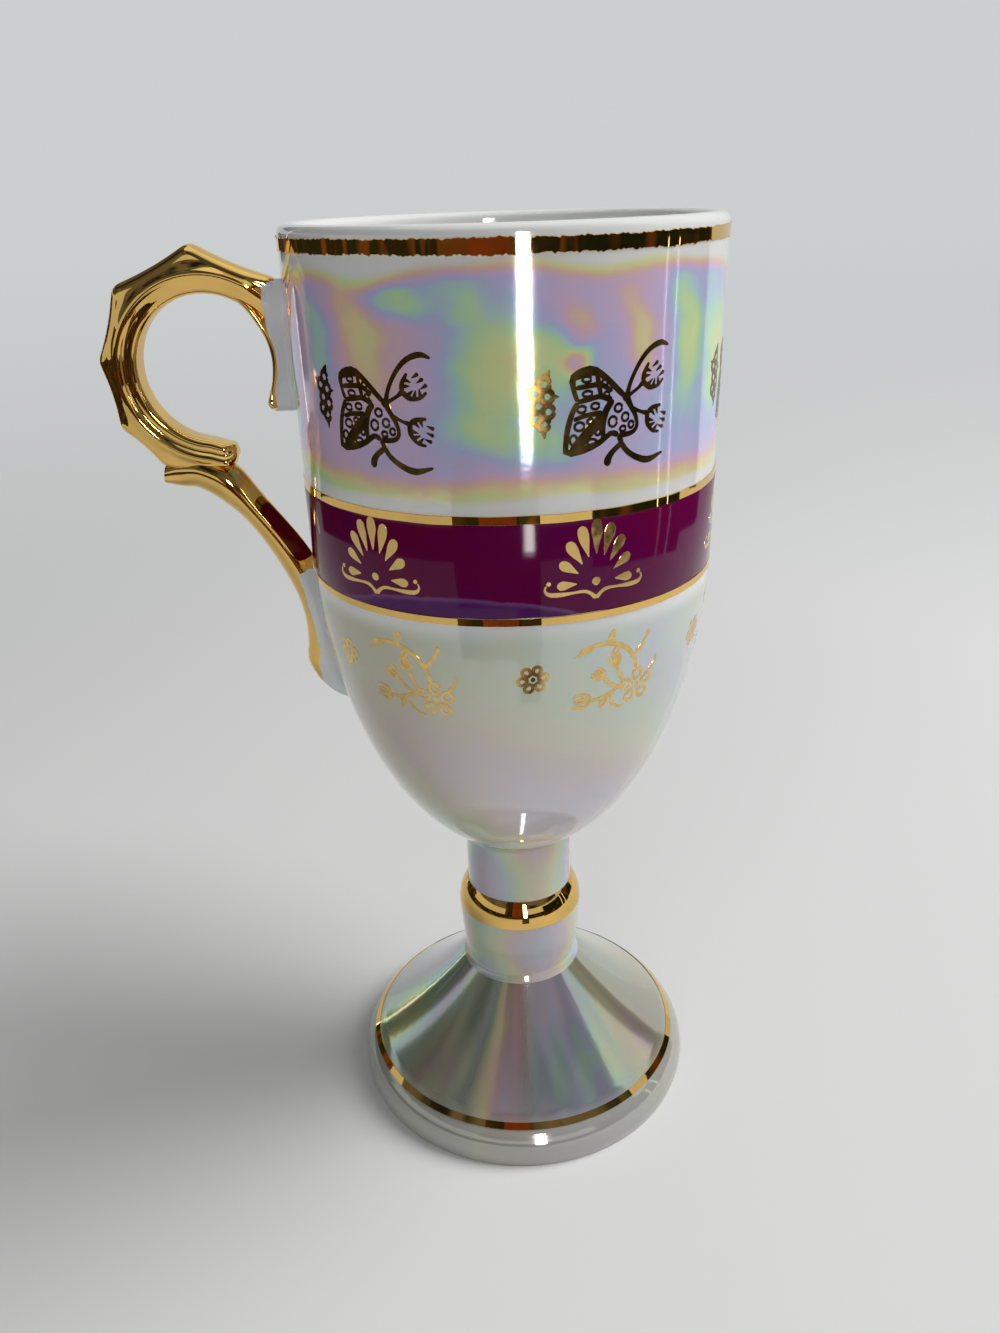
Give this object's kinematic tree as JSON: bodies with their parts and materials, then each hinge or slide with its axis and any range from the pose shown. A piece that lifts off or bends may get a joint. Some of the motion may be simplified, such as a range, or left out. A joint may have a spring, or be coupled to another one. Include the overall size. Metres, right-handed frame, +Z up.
{
  "type": "demitasse cup",
  "caption": "Tall pedestal demitasse cup in lustred white porcelain with an enamel band, gilt sprigs and a gilded, knuckled ring handle.",
  "frame": {"origin": "on the cup's axis, in the plane that the foot stands on", "axes": "+Z up along the cup's axis, the handle towards -X, +Y away from the picture's viewer"},
  "size_m": [0.0701, 0.0484, 0.115],
  "materials": {
    "porcelain": "very glossy white glaze under a mother-of-pearl lustre",
    "burnished_gold": "mirror-bright fired gold over the glaze",
    "burgundy_enamel": "glossy deep burgundy enamel",
    "slip": "fired porcelain slip under the glaze"
  },
  "bodies": {
    "root": {"bowl": "porcelain", "stem": "porcelain", "foot": "porcelain", "handle": "burnished_gold", "bowl_joint": "slip", "foot_joint": "slip", "upper_handle_joint": "slip", "lower_handle_joint": "slip", "rim_gilt_band": "burnished_gold", "upper_gilt_line": "burnished_gold", "burgundy_band": "burgundy_enamel", "lower_gilt_line": "burnished_gold", "stem_gilt_band": "burnished_gold", "foot_gilt_line": "burnished_gold"}
  },
  "joints": []
}
